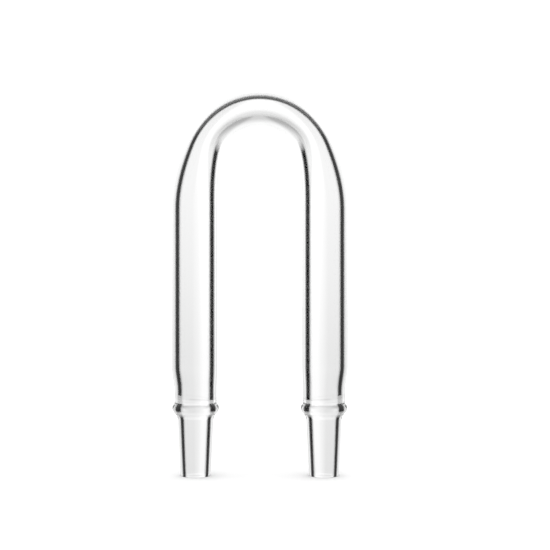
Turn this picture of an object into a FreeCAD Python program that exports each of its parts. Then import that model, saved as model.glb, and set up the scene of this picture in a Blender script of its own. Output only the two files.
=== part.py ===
"""Glass U-bend with two male taper joints, in millimetres.

One drawn glass tube is bent over into an upside-down U. Its two legs are necked in at the bottom, and a
moulded male cone joint with a hollow bead is sealed on to each of them in the flame. The bend is squeezed
a little in its own plane and spreads a little in depth, as a hand-made bend does.

The frame's origin lies on the surface that the two rims stand on, midway between the joints. +Z is up, +X
runs from the left joint to the right joint, and Y is the depth.
"""

import FreeCAD, Part
import math
import os

from FreeCAD import Matrix, Vector

# The male cone: a 14/23 taper, which loses a tenth of its length in diameter.
cone_large_diameter = 14.5
cone_length = 23.0
cone_taper = 0.1
cone_wall = 1.95
rim_round = 0.5

# The hollow bead above the cone: sharper above its widest line than below it, outside and inside.
bead_diameter = 19.0
bead_height = 27.8
bead_bore = 13.7
bead_lower_arc = 3.0
bead_upper_arc = 2.0
bead_under_fillet = 3.5
bead_over_fillet = 1.5
bead_bore_upper_arc = 2.2

# The seal: the ring of reworked glass between a joint and a leg. Its upper edge runs at a slant.
stub_diameter = 17.1
stub_bore = 12.0
joint_height = 30.2
seal_height = 32.4
seal_diameter = 17.2
seal_bore = 11.9
seal_slant = 8.0
joint_spacing = 52.4

# The bent tube.
leg_diameter = 18.6
leg_wall = 2.5
leg_spacing = 53.2
neck_bottom = 34.4
neck_top = 44.9
overall_height = 156.9

# The bend: a tight crown between two easy shoulders, and how its round section changes over it.
crown_radius = 24.0
crown_half_angle = 72.4
crown_in_plane = 14.4
crown_depth = 20.4
crown_wall_outside = 2.4
crown_wall_inside = 3.2
crown_wall_side = 2.2
squeeze_share = 0.65
bend_steps = 28
neck_sections = 7

cone_small_diameter = cone_large_diameter - cone_taper * cone_length
leg_x = leg_spacing / 2
joint_x = joint_spacing / 2
leg_radius = leg_diameter / 2
stub_radius = stub_diameter / 2
leg_bore_radius = leg_radius - leg_wall
stub_bore_radius = stub_bore / 2

# The shoulder's radius is the one that brings the crown's end round to the leg.
crown_turn = math.radians(crown_half_angle)
crown_apex = overall_height - crown_in_plane / 2
shoulder_radius = (leg_x - crown_radius * math.sin(crown_turn)) / (1 - math.sin(crown_turn))
shoulder_turn = math.pi / 2 - crown_turn
leg_top = crown_apex - crown_radius - (shoulder_radius - crown_radius) * math.cos(crown_turn)
shoulder_run = shoulder_radius * shoulder_turn
crown_run = crown_radius * crown_turn


def ease(share):
    """0 up to share 0, 1 from share 1, and a smooth step between them."""
    share = min(max(share, 0.0), 1.0)
    return share * share * (3 - 2 * share)


def between(low, high, share):
    return low + (high - low) * share


def slice_wire(x, z, lean, in_plane, depth, shift=0.0):
    """An oval of those radii about the tube's line at (x, z). lean is the angle from +Z of the oval's
    in-plane axis, which points to the outside of the bend, and shift moves the oval that way."""
    out = Vector(-math.sin(lean), 0, math.cos(lean))
    middle = Vector(x, 0, z) + out * shift
    along = Vector(0, 1, 0)
    normal = out.cross(along)
    frame = Matrix(
        out.x * in_plane, along.x * depth, normal.x, middle.x,
        out.y * in_plane, along.y * depth, normal.y, middle.y,
        out.z * in_plane, along.z * depth, normal.z, middle.z,
        0, 0, 0, 1,
    )
    return Part.Wire(Part.makeCircle(1)).transformGeometry(frame)


def bend_line(run):
    """The bend's centre line, run millimetres to the left of its crown: its x, z and lean."""
    lean = run / crown_radius
    if lean < crown_turn:
        return -crown_radius * math.sin(lean), crown_apex - crown_radius * (1 - math.cos(lean)), lean
    lean = crown_turn + (run - crown_run) / shoulder_radius
    x = shoulder_radius - leg_x - shoulder_radius * math.sin(lean)
    return x, leg_top + shoulder_radius * math.cos(lean), lean


def bend():
    """The whole bend, from the top of the left leg to the top of the right one."""
    outer, inner = [], []
    for i in range(-bend_steps // 2, bend_steps // 2 + 1):
        share = abs(i) / (bend_steps // 2)
        x, z, lean = bend_line(share * (crown_run + shoulder_run))
        side = -1 if i > 0 else 1
        squeeze = ease((1 - share) / squeeze_share)
        in_plane = between(leg_diameter, crown_in_plane, squeeze) / 2
        depth = between(leg_diameter, crown_depth, squeeze) / 2
        wall_outside = between(leg_wall, crown_wall_outside, squeeze)
        wall_inside = between(leg_wall, crown_wall_inside, squeeze)
        wall_side = between(leg_wall, crown_wall_side, squeeze)
        bore_in_plane = in_plane - (wall_outside + wall_inside) / 2
        bore_shift = (wall_inside - wall_outside) / 2
        outer.append(slice_wire(side * x, z, side * lean, in_plane, depth))
        inner.append(slice_wire(side * x, z, side * lean, bore_in_plane, depth - wall_side, bore_shift))
    return Part.makeLoft(outer, True).cut(Part.makeLoft(inner, True))


def pipe(x, bottom, top, radius, bore_radius):
    """A straight length of tube that stands at x."""
    foot = Vector(x, 0, bottom)
    return Part.makeCylinder(radius, top - bottom, foot).cut(
        Part.makeCylinder(bore_radius, top - bottom, foot)
    )


def neck():
    """The left leg's necked-in foot, which also steps in from the leg's line to the joint's."""
    outer, inner = [], []
    for i in range(neck_sections):
        share = i / (neck_sections - 1)
        z = between(neck_bottom, neck_top, share)
        step = ease(share)
        x = -between(joint_x, leg_x, step)
        radius = between(stub_radius, leg_radius, step)
        bore_radius = between(stub_bore_radius, leg_bore_radius, step)
        outer.append(slice_wire(x, z, math.pi / 2, radius, radius))
        inner.append(slice_wire(x, z, math.pi / 2, bore_radius, bore_radius))
    return Part.makeLoft(outer, True).cut(Part.makeLoft(inner, True))


def above_slant():
    """A block that fills everything over the left seal's slanting upper edge."""
    reach = 2 * stub_diameter
    block = Part.makeBox(2 * reach, 2 * reach, reach, Vector(-reach, -reach, 0))
    block.rotate(Vector(0, 0, 0), Vector(0, 1, 0), seal_slant)
    block.translate(Vector(-joint_x, 0, seal_height))
    return block


def mirrored(shape):
    return shape.mirror(Vector(0, 0, 0), Vector(1, 0, 0))


def bent_tube():
    """The whole tube: bend, legs, necks and the short stubs that are cut at a slant for the seals."""
    stub = pipe(-joint_x, joint_height, neck_bottom, stub_radius, stub_bore_radius)
    stub = stub.common(above_slant())
    leg = pipe(-leg_x, neck_top, leg_top, leg_radius, leg_bore_radius)
    straight = stub.fuse([neck(), leg])
    return straight.fuse([bend(), mirrored(straight)]).removeSplitter()


def barrel(end_radius, middle_radius):
    """A solid barrel about the left joint's axis, from the joint up to the foot of the neck."""
    low = Vector(end_radius, 0, joint_height)
    middle = Vector(middle_radius, 0, (joint_height + neck_bottom) / 2)
    high = Vector(end_radius, 0, neck_bottom)
    foot = Vector(0, 0, joint_height)
    head = Vector(0, 0, neck_bottom)
    outline = Part.Wire([
        Part.LineSegment(foot, low).toShape(),
        Part.Arc(low, middle, high).toShape(),
        Part.LineSegment(high, head).toShape(),
        Part.LineSegment(head, foot).toShape(),
    ])
    solid = Part.Face(outline).revolve(Vector(0, 0, 0), Vector(0, 0, 1), 360)
    solid.translate(Vector(-joint_x, 0, 0))
    return solid


def seal_ring():
    """The left seal, which swells a little inside and out where the two glasses were melted together."""
    outside = barrel(stub_radius, seal_diameter / 2)
    inside = barrel(stub_bore_radius, seal_bore / 2)
    return outside.cut(inside).cut(above_slant())


def arc_middle(centre, start, end):
    """The middle of the short arc about centre from start to end."""
    return centre + ((start + end) * 0.5 - centre).normalize() * (start - centre).Length


def blend_arc(foot_radius, slope, round_radius, bulge_centre, bulge_radius, side):
    """The hollow arc that joins the line r = foot_radius + slope * z to a bulge's arc, below the bulge
    if side is -1 and above it if side is 1. Returns its ends on the line and on the bulge, and its middle."""
    stretch = math.hypot(1, slope)
    a = 1 + slope * slope
    gap = foot_radius + round_radius * stretch - bulge_centre.x
    b = slope * gap - bulge_centre.z
    c = gap * gap + bulge_centre.z**2 - (bulge_radius + round_radius) ** 2
    z = (-b + side * math.sqrt(b * b - a * c)) / a
    centre = Vector(foot_radius + slope * z + round_radius * stretch, 0, z)
    on_line = centre - Vector(1, 0, -slope) * (round_radius / stretch)
    on_bulge = bulge_centre + (centre - bulge_centre) * (bulge_radius / (bulge_radius + round_radius))
    return on_line, on_bulge, arc_middle(centre, on_line, on_bulge)


def joint_outline(foot_radius, bead_radius, upper_arc, top_radius):
    """One side of the joint's wall, from the rim up: the cone, the bead and the stub."""
    lower_centre = Vector(bead_radius - bead_lower_arc, 0, bead_height)
    upper_centre = Vector(bead_radius - upper_arc, 0, bead_height)
    widest = Vector(bead_radius, 0, bead_height)
    on_cone, bead_low, under = blend_arc(
        foot_radius, cone_taper / 2, bead_under_fillet, lower_centre, bead_lower_arc, -1
    )
    on_stub, bead_high, over = blend_arc(top_radius, 0, bead_over_fillet, upper_centre, upper_arc, 1)
    foot = Vector(foot_radius, 0, 0)
    top = Vector(top_radius, 0, joint_height)
    edges = [
        Part.LineSegment(foot, on_cone).toShape(),
        Part.Arc(on_cone, under, bead_low).toShape(),
        Part.Arc(bead_low, arc_middle(lower_centre, bead_low, widest), widest).toShape(),
        Part.Arc(widest, arc_middle(upper_centre, widest, bead_high), bead_high).toShape(),
        Part.Arc(bead_high, over, on_stub).toShape(),
        Part.LineSegment(on_stub, top).toShape(),
    ]
    return foot, top, edges


def cone_joint():
    """The left joint: a hollow male cone with a bead, and a rim that is rounded in the flame."""
    small_radius = cone_small_diameter / 2
    outer_foot, outer_top, outer = joint_outline(
        small_radius, bead_diameter / 2, bead_upper_arc, stub_radius
    )
    inner_foot, inner_top, inner = joint_outline(
        small_radius - cone_wall, bead_bore / 2, bead_bore_upper_arc, stub_bore_radius
    )
    rim = Part.LineSegment(outer_foot, inner_foot).toShape()
    top = Part.LineSegment(outer_top, inner_top).toShape()
    outline = Part.Wire(Part.__sortEdges__(outer + [top] + inner + [rim]))
    joint = Part.Face(outline).revolve(Vector(0, 0, 0), Vector(0, 0, 1), 360)
    rim_edges = [edge for edge in joint.Edges if edge.BoundBox.ZMax < rim_round / 10]
    joint = joint.makeFillet(rim_round, rim_edges)
    joint.translate(Vector(-joint_x, 0, 0))
    return joint


def save(name, shape):
    solids = shape.Solids
    if len(solids) != 1 or not solids[0].isValid():
        raise ValueError(f"{name} is {len(solids)} solids, valid: {shape.isValid()}")
    solid = solids[0]
    if solid.Volume < 0:
        solid.reverse()
    solid.exportStep(f"parts/{name}.step")
    box = solid.BoundBox
    print(f"{name}: {solid.Volume:.1f} mm3, {box.XLength:.2f} x {box.YLength:.2f} x {box.ZLength:.2f} mm")


os.makedirs("parts", exist_ok=True)
save("bent_tube", bent_tube())
for side, place in (("left", lambda shape: shape), ("right", mirrored)):
    save(f"{side}_seal_ring", place(seal_ring()))
    save(f"{side}_cone_joint", place(cone_joint()))
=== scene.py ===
import math

import bmesh
import bpy
from mathutils import Matrix, Vector


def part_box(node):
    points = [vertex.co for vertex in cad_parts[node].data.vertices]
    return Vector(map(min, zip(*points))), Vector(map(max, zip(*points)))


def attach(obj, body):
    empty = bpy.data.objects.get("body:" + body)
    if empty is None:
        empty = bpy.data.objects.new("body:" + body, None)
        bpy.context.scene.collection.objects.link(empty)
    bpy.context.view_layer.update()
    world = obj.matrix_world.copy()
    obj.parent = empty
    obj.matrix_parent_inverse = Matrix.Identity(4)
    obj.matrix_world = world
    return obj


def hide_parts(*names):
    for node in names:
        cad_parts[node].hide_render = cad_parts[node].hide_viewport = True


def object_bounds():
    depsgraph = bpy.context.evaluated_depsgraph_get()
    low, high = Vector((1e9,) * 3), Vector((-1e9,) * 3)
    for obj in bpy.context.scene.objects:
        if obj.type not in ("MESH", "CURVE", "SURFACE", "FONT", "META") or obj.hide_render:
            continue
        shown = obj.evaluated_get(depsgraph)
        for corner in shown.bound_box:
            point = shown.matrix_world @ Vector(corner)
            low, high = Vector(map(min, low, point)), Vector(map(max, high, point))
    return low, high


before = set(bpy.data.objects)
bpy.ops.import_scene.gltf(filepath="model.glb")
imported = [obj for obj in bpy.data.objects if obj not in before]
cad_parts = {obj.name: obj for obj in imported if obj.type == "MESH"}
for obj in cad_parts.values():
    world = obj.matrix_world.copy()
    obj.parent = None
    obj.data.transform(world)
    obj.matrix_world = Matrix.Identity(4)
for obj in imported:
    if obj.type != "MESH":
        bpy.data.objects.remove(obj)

cadLow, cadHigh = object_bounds()
mergeDistance = 0.000002  # points nearer to each other than this are one point
print("scene: frame loaded,", len(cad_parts), "glass nodes")


class Link:  # a socket that takes part in sums: each operator adds one Math node
    def __init__(self, sheet, socket):
        self.sheet, self.socket = sheet, socket

    def maths(self, operation, *others):
        return self.sheet.add("ShaderNodeMath", {"operation": operation}, [self, *others])

    def __add__(self, other):
        return self.maths("ADD", other)

    def __sub__(self, other):
        return self.maths("SUBTRACT", other)

    def __mul__(self, other):
        return self.maths("MULTIPLY", other)

    def __truediv__(self, other):
        return self.maths("DIVIDE", other)

    def __rsub__(self, other):
        return self.sheet.add("ShaderNodeMath", {"operation": "SUBTRACT"}, [other, self])

    def __rtruediv__(self, other):
        return self.sheet.add("ShaderNodeMath", {"operation": "DIVIDE"}, [other, self])

    __radd__ = __add__
    __rmul__ = __mul__


class Sheet:  # one node tree, filled through add()
    def __init__(self, tree):
        self.tree = tree
        tree.nodes.clear()

    def add(self, kind, settings=None, values=None, out=0):
        node = self.tree.nodes.new(kind)
        for key, value in (settings or {}).items():
            if key == "stops":  # a ramp's stops: position, then grey level or colour
                ramp = node.color_ramp
                for i, (place, shade) in enumerate(value):
                    stop = ramp.elements[i] if i < 2 else ramp.elements.new(place)
                    stop.position = place
                    stop.color = (shade, shade, shade, 1) if isinstance(shade, (int, float)) else (*shade, 1)
            else:
                setattr(node, key, value)
        pairs = enumerate(values) if isinstance(values, (list, tuple)) else (values or {}).items()
        for key, value in pairs:
            if isinstance(value, Link):
                self.tree.links.new(value.socket, node.inputs[key])
            else:
                node.inputs[key].default_value = value
        return Link(self, node.outputs[out]) if node.outputs else node

    def part(self, vector, axis):  # one of a vector's three numbers
        return self.add("ShaderNodeSeparateXYZ", {}, [vector], out=axis)

    def smooth(self, value, low, high):  # 0 below low, 1 above high
        values = {"Value": value, "From Min": low, "From Max": high}
        return self.add("ShaderNodeMapRange", {"interpolation_type": "SMOOTHSTEP"}, values)


# The drawn tube: bend, legs and necked feet.
tube = {
    "legDiameter": 0.0186,
    "legWall": 0.0025,
    "legSpacing": 0.0532,
    "crownRadius": 0.0240,
    "crownHalfAngle": 72.4,
    "crownInPlane": 0.0144,
    "crownDepth": 0.0204,
    "crownWalls": (0.0024, 0.0032, 0.0022),  # outside of the bend, inside, sides
    "squeezeShare": 0.65,
    "neck": (0.0344, 0.0449),
    "stubDiameter": 0.0171,
    "stubBore": 0.0120,
    "stubRings": 6,
    "around": 128,
    "step": 0.0012,
}
seal = {
    "height": 0.0324,
    "slant": 8,
    "bulge": 0.00005,
    "boreBulge": 0.00005,
    "rings": 14,
}


def ease(share):
    share = min(max(share, 0), 1)
    return share * share * (3 - 2 * share)


def between(low, high, share):
    return low + (high - low) * share


jointX = sum(corner.x for corner in map(Vector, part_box("right_cone_joint"))) / 2
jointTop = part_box("right_cone_joint")[1][2]
legX = tube["legSpacing"] / 2
crownTurn = math.radians(tube["crownHalfAngle"])
crownTop = cadHigh[2] - tube["crownInPlane"] / 2
shoulderRadius = (legX - tube["crownRadius"] * math.sin(crownTurn)) / (1 - math.sin(crownTurn))
crownRun = tube["crownRadius"] * crownTurn
bendRun = crownRun + shoulderRadius * (math.pi / 2 - crownTurn)
legTop = crownTop - tube["crownRadius"] - (shoulderRadius - tube["crownRadius"]) * math.cos(crownTurn)
footRun = bendRun + legTop - tube["neck"][0]


def tubeLine(run):  # the tube's line, run metres from the crown: x, z and lean
    if run < crownRun:
        lean = run / tube["crownRadius"]
        drop = tube["crownRadius"] * (1 - math.cos(lean))
        return tube["crownRadius"] * math.sin(lean), crownTop - drop, lean
    if run < bendRun:
        lean = crownTurn + (run - crownRun) / shoulderRadius
        x = legX - shoulderRadius * (1 - math.sin(lean))
        return x, legTop + shoulderRadius * math.cos(lean), lean
    z = legTop + bendRun - run
    step = ease((z - tube["neck"][0]) / (tube["neck"][1] - tube["neck"][0]))
    return between(jointX, legX, step), z, math.pi / 2


def tubeStation(run, bore):  # the matrix that sets a unit circle on the tube there, run < 0 on the left
    side = 1 if run >= 0 else -1
    x, z, lean = tubeLine(abs(run))
    pinch = ease((1 - abs(run) / bendRun) / tube["squeezeShare"])
    step = ease((z - tube["neck"][0]) / (tube["neck"][1] - tube["neck"][0]))
    wide = between(tube["stubDiameter"], tube["legDiameter"], step) / 2
    inPlane, shift = between(wide, tube["crownInPlane"] / 2, pinch), 0
    depth = between(wide, tube["crownDepth"] / 2, pinch)
    if bore:
        wall = between((tube["stubDiameter"] - tube["stubBore"]) / 2, tube["legWall"], step)
        outside, inside, sides = (between(wall, w, pinch) for w in tube["crownWalls"])
        inPlane -= (outside + inside) / 2
        depth -= sides
        shift = (inside - outside) / 2
    out = Vector((side * math.sin(lean), 0, math.cos(lean)))
    along = Vector((0, 1, 0))
    ahead = out.cross(along)
    place = Vector((side * x, 0, z)) + out * shift
    turn = Matrix((out * inPlane, along * depth, ahead)).transposed().to_4x4()
    return Matrix.Translation(place) @ turn


def sweep(bm, stations, around, coat, meltedAt):  # a unit circle carried round the stations and back again
    ring = bmesh.ops.create_circle(bm, segments=around, radius=1)["verts"]
    edges = list({e for v in ring for e in v.link_edges})
    for v in ring:
        v[coat] = (v.co.x, v.co.y, 0)
    bmesh.ops.transform(bm, matrix=stations[0], verts=ring)
    length = 0
    for i, (before, after) in enumerate(zip(stations, stations[1:] + stations[:1])):
        length += (after.translation - before.translation).length * (1 if i < meltedAt[0] else -1)
        grown = bmesh.ops.extrude_edge_only(bm, edges=edges)["geom"]
        ring = [g for g in grown if isinstance(g, bmesh.types.BMVert)]
        edges = [g for g in grown if isinstance(g, bmesh.types.BMEdge)]
        for face in grown:
            if isinstance(face, bmesh.types.BMFace):
                face.material_index = 1 if i in meltedAt else (2 if i > meltedAt[0] else 0)
        bmesh.ops.transform(bm, matrix=after @ before.inverted(), verts=ring)
        for v in ring:
            v[coat] = (v[coat][0], v[coat][1], length)
    bmesh.ops.remove_doubles(bm, verts=bm.verts, dist=mergeDistance)


def seamTilt(side, share):  # leans a level circle over towards the seam's slant
    slope = side * math.tan(math.radians(seal["slant"])) * share
    return Matrix(((1, 0, 0, 0), (0, 1, 0, 0), (slope, 0, 1, 0), (0, 0, 0, 1)))


def seamStation(side, radius, share):  # a ring between the joint's top (share 0) and the seam (share 1)
    place = Matrix.Translation((side * jointX, 0, between(jointTop, seal["height"], share)))
    return place @ seamTilt(side, share) @ Matrix.Diagonal((radius, radius, 1, 1))


def stubStation(side, radius, share):  # a ring between the seam (share 0) and the foot of the neck (share 1)
    place = Matrix.Translation((side * jointX, 0, between(seal["height"], tube["neck"][0], share)))
    return place @ seamTilt(side, 1 - share) @ Matrix.Diagonal((radius, radius, 1, 1))


def finishPiece(name, bm, node, materials):
    bmesh.ops.recalc_face_normals(bm, faces=bm.faces)
    for face in bm.faces:
        face.smooth = face.material_index != 1
    for edge in bm.edges:  # the skins keep their own shading up to a melted face
        edge.smooth = len({face.smooth for face in edge.link_faces}) == 1
    mesh = bpy.data.meshes.new(name)
    bm.to_mesh(mesh)
    bm.free()
    for material in materials:
        mesh.materials.append(material)
    piece = bpy.data.objects.new(name, mesh)
    bpy.context.scene.collection.objects.link(piece)
    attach(piece, "root")
    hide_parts(node)
    print("scene:", name, len(mesh.polygons), "faces")


def makeTube(materials):
    bm = bmesh.new()
    coat = bm.verts.layers.float_vector.new("drawn")
    steps = round(footRun / tube["step"])
    runs = [footRun * i / steps for i in range(-steps, steps + 1)]
    flip = Matrix.Rotation(math.pi, 4, "Y")
    skins = []
    for bore, radius in ((False, tube["stubDiameter"] / 2), (True, tube["stubBore"] / 2)):
        shares = [i / tube["stubRings"] for i in range(tube["stubRings"])]
        left = [stubStation(-1, radius, share) @ flip for share in shares]
        right = [stubStation(1, radius, share) for share in shares[::-1]]
        skins.append(left + [tubeStation(run, bore) for run in runs] + right)
    stations = skins[0] + skins[1][::-1]
    sweep(bm, stations, tube["around"], coat, (len(skins[0]) - 1, len(stations) - 1))
    finishPiece("drawnTube", bm, "bent_tube", materials)


def makeSeal(side, node, materials):
    bm = bmesh.new()
    coat = bm.verts.layers.float_vector.new("drawn")
    shares = [i / seal["rings"] for i in range(seal["rings"] + 1)]
    outside = [tube["stubDiameter"] / 2 + seal["bulge"] * math.sin(math.pi * share) ** 2 for share in shares]
    inside = [tube["stubBore"] / 2 - seal["boreBulge"] * math.sin(math.pi * share) ** 2 for share in shares]
    stations = [seamStation(side, *pair) for pair in zip(outside, shares)]
    stations += [seamStation(side, *pair) for pair in zip(inside, shares)][::-1]
    sweep(bm, stations, tube["around"], coat, (seal["rings"], len(stations) - 1))
    finishPiece(node.split("_")[0] + "Seal", bm, node, materials)


# The cone joints.
joint = {
    "rimRadius": 0.0061,
    "taper": 0.1,
    "wall": 0.00195,
    "rimRound": 0.0005,
    "beadHeight": 0.0278,
    "bead": (0.0095, 0.0020),  # its radius and the round of its upper half
    "beadBore": (0.00685, 0.0022),
    "lowerRound": 0.0030,
    "underHollow": 0.0035,
    "overHollow": 0.0015,
    "around": 128,
    "arcSteps": 12,
    "lineStep": 0.0015,
    "levelWithin": 0.000001,
    "inwardPast": 0.00001,
}


def hollow(foot, slope, size, bulge, own, side):  # the arc between a wall's line and the bead, and its ends
    stretch = math.hypot(1, slope)
    gap = foot + size * stretch - bulge.x
    a, b = 1 + slope * slope, slope * gap - bulge.y
    c = gap * gap + bulge.y ** 2 - (own + size) ** 2
    z = (-b + side * math.sqrt(b * b - a * c)) / a
    centre = Vector((foot + slope * z + size * stretch, z))
    onLine = centre - Vector((1, -slope)) * (size / stretch)
    return centre, onLine, bulge + (centre - bulge) * (own / (own + size))


def wallMoves(foot, top, bead, side):  # one face of the wall from top to rim; side is 1 outside, -1 inside
    slope, size = joint["taper"] / 2, joint["rimRound"]
    radius, upperRound = bead
    upper = Vector((radius - upperRound, joint["beadHeight"]))
    lower = Vector((radius - joint["lowerRound"], joint["beadHeight"]))
    over, overLine, overBead = hollow(top, 0, joint["overHollow"], upper, upperRound, 1)
    under, underLine, underBead = hollow(foot, slope, joint["underHollow"], lower, joint["lowerRound"], -1)
    stretch = math.hypot(1, slope)
    rim = Vector((foot + slope * size - side * size * stretch, size))
    onWall = rim + Vector((1, -slope)) * (side * size / stretch)
    return [
        (None, overLine), (over, overBead), (upper, Vector((radius, joint["beadHeight"]))),
        (lower, underBead), (under, underLine), (None, onWall), (rim, Vector((rim.x, 0))),
    ]


def drawLine(bm, tip, moves):  # carries a vertex along runs and arcs at y = 0, and returns the last one
    for centre, end in moves:
        here = Vector((tip.co.x, tip.co.z))
        if centre:
            angle = (here - centre).angle_signed(end - centre)
            spun = bmesh.ops.spin(
                bm, geom=[tip], cent=(centre.x, 0, centre.y), axis=(0, 1, 0), angle=angle,
                steps=joint["arcSteps"], use_merge=False,
            )
            tip = spun["geom_last"][0]
        else:
            count = max(1, round((end - here).length / joint["lineStep"]))
            stride = ((end.x - here.x) / count, 0, (end.y - here.y) / count)
            for _ in range(count):
                tip = bmesh.ops.extrude_vert_indiv(bm, verts=[tip])["verts"][0]
                bmesh.ops.translate(bm, verts=[tip], vec=stride)
    return tip


def makeJoint(side, node, materials):
    bm = bmesh.new()
    coat = bm.verts.layers.float_vector.new("drawn")
    rims, tops = [], []
    for foot, top, bead, face in (
        (joint["rimRadius"], tube["stubDiameter"] / 2, joint["bead"], 1),
        (joint["rimRadius"] - joint["wall"], tube["stubBore"] / 2, joint["beadBore"], -1),
    ):
        tops.append(bm.verts.new((top, 0, jointTop)))
        rims.append(drawLine(bm, tops[-1], wallMoves(foot, top, bead, face)))
    bm.edges.new(rims)
    bm.edges.new(tops)
    bmesh.ops.spin(
        bm, geom=list(bm.verts) + list(bm.edges), axis=(0, 0, 1), cent=(0, 0, 0), angle=2 * math.pi,
        steps=joint["around"], use_merge=True,
    )
    bmesh.ops.recalc_face_normals(bm, faces=bm.faces)
    for face in bm.faces:
        middle = face.calc_center_median()
        inward = face.normal.x * middle.x + face.normal.y * middle.y < -joint["inwardPast"]
        isTop = all(v.co.z > jointTop - joint["levelWithin"] for v in face.verts)
        face.material_index = 1 if isTop else (2 if inward else 0)
    for v in bm.verts:
        turned = Vector((v.co.x, v.co.y, 0)).normalized()
        v[coat] = (turned.x, turned.y, v.co.z)
    bmesh.ops.translate(bm, verts=bm.verts, vec=(side * jointX, 0, 0))
    finishPiece(node.split("_")[0] + "Cone", bm, node, materials)


# Clear glass. The wall seen edge on is darkened by painted shade in the glass's colour, a tuned stand-in, and
# not by refraction alone.
glass = {
    "ior": 1.473,
    "drawnStretch": (9, 9, 6),
    # painted shade of the wall seen edge on: the share of light the colour lets by, from face on (0) to edge
    # on (1): least between 0.30 and 0.41
    "paintedEdgeShadeStops": (
        (0.16, 1), (0.215, 0.90), (0.25, 0.48), (0.28, 0.08), (0.30, 0.0),
        (0.41, 0.0), (0.435, 0.10), (0.465, 0.40), (0.51, 0.78), (0.58, 0.97), (0.70, 1),
    ),
    "beadShadeBoldness": 2.2,
    "beadShadeHeight": 0.0283,
    "beadShadeReach": (0.0008, 0.0020),  # the painted dark mark is full within the first distance, gone past the second
    "shoulderShadeLoss": 0.4,
    "shoulderHeight": 0.0256,
    "shoulderShadeReach": (0.0004, 0.0014),
    "sealShadeLoss": 0.35,
    "sealShadeFrom": (0.0294, 0.0302),
    "topside": (0.30, 0.75),  # how far up a face points where the painted shade starts and ends weakening
    "topShadeLoss": 0.04,
    "underside": (0.22, 0.52),  # how far down a face points where the painted shade starts and ends fading out
}


def glassMaterial(name, isSkin, isRound, drawLines, ripple, rippleSize):  # heights and size in metres
    material = bpy.data.materials.new(name)
    material.use_nodes = True
    sheet = Sheet(material.node_tree)
    drawn = sheet.add("ShaderNodeAttribute", {"attribute_name": "drawn"}, out=1)
    stretched = sheet.add("ShaderNodeMapping", {}, {"Vector": drawn, "Scale": glass["drawnStretch"]})
    lines = sheet.add("ShaderNodeTexNoise", {}, {"Vector": stretched, "Scale": 1, "Detail": 2}, out=0)
    place = sheet.add("ShaderNodeTexCoord", out=3)
    finer = {"Vector": place, "Scale": 1 / rippleSize, "Detail": 1}
    waves = sheet.add("ShaderNodeTexNoise", {}, finer, out=0)
    height = lines * drawLines + waves * ripple
    bump = sheet.add("ShaderNodeBump", {}, {"Strength": 1, "Distance": 1, "Height": height})
    values = {"Roughness": 0, "IOR": glass["ior"], "Transmission Weight": 1, "Normal": bump}
    if isSkin:
        blend = {"Blend": 0.5}
        if isRound:  # the painted edge shade is measured about the joint's own axis, so that the bead's curves draw no rings of it
            flat = sheet.add("ShaderNodeVectorMath", {"operation": "MULTIPLY"}, [drawn, (1, 1, 0)])
            blend["Normal"] = sheet.add("ShaderNodeVectorMath", {"operation": "NORMALIZE"}, [flat])
        facing = sheet.add("ShaderNodeLayerWeight", {}, blend, out=1)
        # the glass shader takes the root of its colour at each face, so the stops are squared
        stops = tuple((turn, clear ** 2) for turn, clear in glass["paintedEdgeShadeStops"])
        # wall: the painted shade of the wall seen edge on, set by how far the face turns from the eye
        wall = sheet.add("ShaderNodeValToRGB", {"stops": stops}, {"Fac": facing})
        if isRound:  # the painted shade is bolder at the bead, a painted dark mark, and fainter at the shoulder under it and from the seal up
            up = sheet.part(sheet.add("ShaderNodeTexCoord", out=3), 2)
            fromBead = (up - glass["beadShadeHeight"]).maths("ABSOLUTE")
            fromShoulder = (up - glass["shoulderHeight"]).maths("ABSOLUTE")
            # bead: where the painted dark mark at the bead's line is at full strength
            bead = 1 - sheet.smooth(fromBead, *glass["beadShadeReach"])
            shoulderShadeMask = 1 - sheet.smooth(fromShoulder, *glass["shoulderShadeReach"])
            wall = wall.maths("POWER", 1 + glass["beadShadeBoldness"] * bead)
            # the painted shade is made fainter at the shoulder and from the seal up
            shadeLift = glass["shoulderShadeLoss"] * shoulderShadeMask + glass["sealShadeLoss"] * sheet.smooth(up, *glass["sealShadeFrom"])
            wall = wall + (1 - wall) * shadeLift
        edgeShadeWeight = 1 - sheet.add("ShaderNodeNewGeometry", out=6)  # the painted shade goes only where light enters the glass
        # the painted shade by which way a face points: gone on faces pointing down, a little weaker on faces
        # pointing up
        if not isRound:
            up = sheet.part(sheet.add("ShaderNodeTexCoord", out=1), 2)
            edgeShadeWeight = edgeShadeWeight * (1 - sheet.smooth(0 - up, *glass["underside"]))
            edgeShadeWeight = edgeShadeWeight * (1 - glass["topShadeLoss"] * sheet.smooth(up, *glass["topside"]))
        # the painted shade goes into the glass's colour; faces that get none stay white
        values["Base Color"] = 1 - (1 - wall) * edgeShadeWeight
    else:
        values["Base Color"] = (1, 1, 1, 1)
    surface = sheet.add("ShaderNodeBsdfPrincipled", {}, values)
    sheet.add("ShaderNodeOutputMaterial", {}, {"Surface": surface})
    return material


def meltedMaterial():  # where two pieces are melted together there is no surface to see
    material = bpy.data.materials.new("meltedTogether")
    material.use_nodes = True
    sheet = Sheet(material.node_tree)
    sheet.add("ShaderNodeOutputMaterial", {}, {"Surface": sheet.add("ShaderNodeBsdfTransparent")})
    return material


def glassSet(name, isRound, drawLines, ripple, rippleSize, melted):  # a piece's skin, melted faces and bore
    skin = glassMaterial(name + "GlassPaintedEdgeShade", True, isRound, drawLines, ripple, rippleSize)
    bore = glassMaterial(name + "Bore", False, isRound, drawLines, ripple, rippleSize)
    return skin, melted, bore


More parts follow.
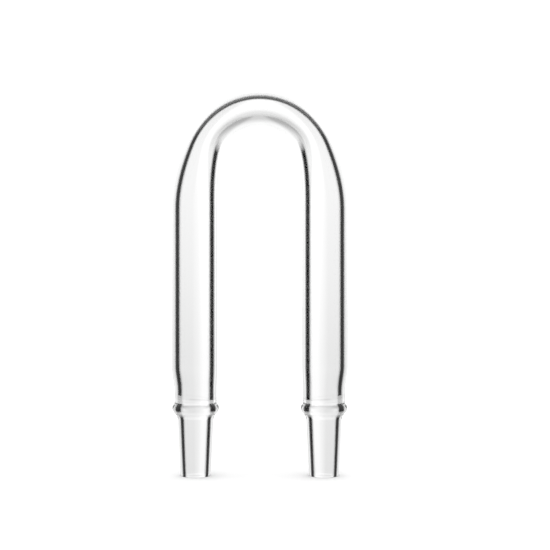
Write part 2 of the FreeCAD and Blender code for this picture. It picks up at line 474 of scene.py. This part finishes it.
melted = meltedMaterial()
drawnGlass = glassSet("drawn", False, 0.000003, 0.000001, 0.008, melted)
reworkedGlass = glassSet("reworked", True, 0, 0.000004, 0.002, melted)
mouldedGlass = glassSet("moulded", True, 0, 0.000002, 0.006, melted)

makeTube(drawnGlass)
for side, word in ((-1, "left"), (1, "right")):
    makeSeal(side, word + "_seal_ring", reworkedGlass)
    makeJoint(side, word + "_cone_joint", mouldedGlass)


# The studio, all of it fixed: floor, white tent dimmer at roof and foot, two faint strips, white room, lamp.
studio = {
    "camera": (0.0062, -0.5617, 0.0820),
    "lens": 90,
    "sensor": 36,
    "tentRadius": 2,
    "tentStrength": 0.945,
    "tentAround": 144,
    "tentRings": 96,
    "skyStops": (  # degrees above eye level, then the share of the tent's light
        (-90, 0.43), (-32, 0.43), (-24, 0.55), (-10, 0.83), (-4, 0.86),
        (0, 0.93), (6, 1), (40, 1), (50, 0.5), (90, 0.5),
    ),
    "stripAt": 0.15,
    "stripSize": (0.084, 0.4),
    "stripFade": (0.012, 0.040),
    "stripStrength": 0.22,
    "floorHalf": 3,
    "floorShade": 0.9,
    "roomStrength": 1.25,
    "lampPower": 2.0,
    "lampSize": 1,
    "lampHeight": 1.2,
    "bounces": 24,
    "glossyBounces": 12,
}
scene = bpy.context.scene
cameraData = bpy.data.cameras.new("camera")
cameraData.lens = studio["lens"]
cameraData.sensor_width = studio["sensor"]
camera = bpy.data.objects.new("camera", cameraData)
camera.location = studio["camera"]
camera.rotation_euler = (math.pi / 2, 0, 0)
scene.collection.objects.link(camera)
scene.camera = camera


def stageMesh(name, bm, material, glassOnly):
    mesh = bpy.data.meshes.new(name)
    bm.to_mesh(mesh)
    bm.free()
    mesh.materials.append(material)
    thing = bpy.data.objects.new(name, mesh)
    scene.collection.objects.link(thing)
    if glassOnly:  # it shows only in the glass and through it
        thing.visible_camera = thing.visible_diffuse = False
        thing.visible_shadow = thing.visible_volume_scatter = False
    else:
        thing.visible_glossy = thing.visible_transmission = False


def newSheet(name):
    material = bpy.data.materials.new(name)
    material.use_nodes = True
    return material, Sheet(material.node_tree)


def floorPaint():
    material, sheet = newSheet("floorPaint")
    shade = studio["floorShade"]
    paint = sheet.add("ShaderNodeBsdfDiffuse", {}, {"Color": (shade, shade, shade, 1)})
    sheet.add("ShaderNodeOutputMaterial", {}, {"Surface": paint})
    return material


def tentCloth():
    material, sheet = newSheet("tentCloth")
    spot = sheet.add("ShaderNodeTexCoord", out=3)
    height = sheet.part(spot, 2) - studio["camera"][2]
    elevation = (height / studio["tentRadius"]).maths("ARCSINE") * (180 / math.pi)
    stops = tuple((place / 180 + 0.5, shade) for place, shade in studio["skyStops"])
    glow = sheet.add("ShaderNodeValToRGB", {"stops": stops}, {"Fac": elevation / 180 + 0.5})
    light = sheet.add("ShaderNodeEmission", {}, {"Color": glow, "Strength": studio["tentStrength"]})
    sheet.add("ShaderNodeOutputMaterial", {}, {"Surface": light})
    return material


def stripLight():
    material, sheet = newSheet("stripLight")
    clear = sheet.add("ShaderNodeBsdfTransparent")
    across = sheet.part(sheet.add("ShaderNodeTexCoord", out=3), 0).maths("ABSOLUTE")
    glow = 1 - sheet.smooth(across, *studio["stripFade"])
    light = sheet.add("ShaderNodeEmission", {}, {"Color": glow, "Strength": studio["stripStrength"]})
    both = sheet.add("ShaderNodeAddShader", {}, [clear, light])
    sheet.add("ShaderNodeOutputMaterial", {}, {"Surface": both})
    return material


floorMesh = bmesh.new()
bmesh.ops.create_grid(floorMesh, x_segments=1, y_segments=1, size=studio["floorHalf"])
stageMesh("floor", floorMesh, floorPaint(), False)

eyeLevel = Matrix.Translation((0, 0, studio["camera"][2]))
tentMesh = bmesh.new()
bmesh.ops.create_uvsphere(
    tentMesh, u_segments=studio["tentAround"], v_segments=studio["tentRings"], radius=studio["tentRadius"],
    matrix=eyeLevel,
)
stageMesh("tent", tentMesh, tentCloth(), True)

stripMaterial = stripLight()
width, height = studio["stripSize"]
for side, word in ((1, "back"), (-1, "front")):
    stripMesh = bmesh.new()
    stand = Matrix.Translation((0, side * studio["stripAt"], studio["camera"][2]))
    stand = stand @ Matrix.Rotation(math.pi / 2, 4, "X") @ Matrix.Diagonal((width, height, 1, 1))
    bmesh.ops.create_grid(stripMesh, x_segments=1, y_segments=1, size=0.5, matrix=stand)
    stageMesh(word + "Strip", stripMesh, stripMaterial, True)

world = bpy.data.worlds.new("whiteRoom")
scene.world = world
world.use_nodes = True
sheet = Sheet(world.node_tree)
room = sheet.add("ShaderNodeBackground", {}, {"Color": (1, 1, 1, 1), "Strength": studio["roomStrength"]})
sheet.add("ShaderNodeOutputWorld", {}, {"Surface": room})

lampData = bpy.data.lights.new("overheadLamp", "AREA")
lampData.energy = studio["lampPower"]
lampData.size = studio["lampSize"]
lamp = bpy.data.objects.new("overheadLamp", lampData)
lamp.location = (0, 0, studio["lampHeight"])
scene.collection.objects.link(lamp)
lamp.visible_camera = lamp.visible_glossy = lamp.visible_transmission = False

scene.view_settings.view_transform = "Standard"
scene.cycles.max_bounces = studio["bounces"]
scene.cycles.transmission_bounces = studio["bounces"]
scene.cycles.glossy_bounces = studio["glossyBounces"]
scene.cycles.transparent_max_bounces = studio["bounces"]
print("scene: studio set")
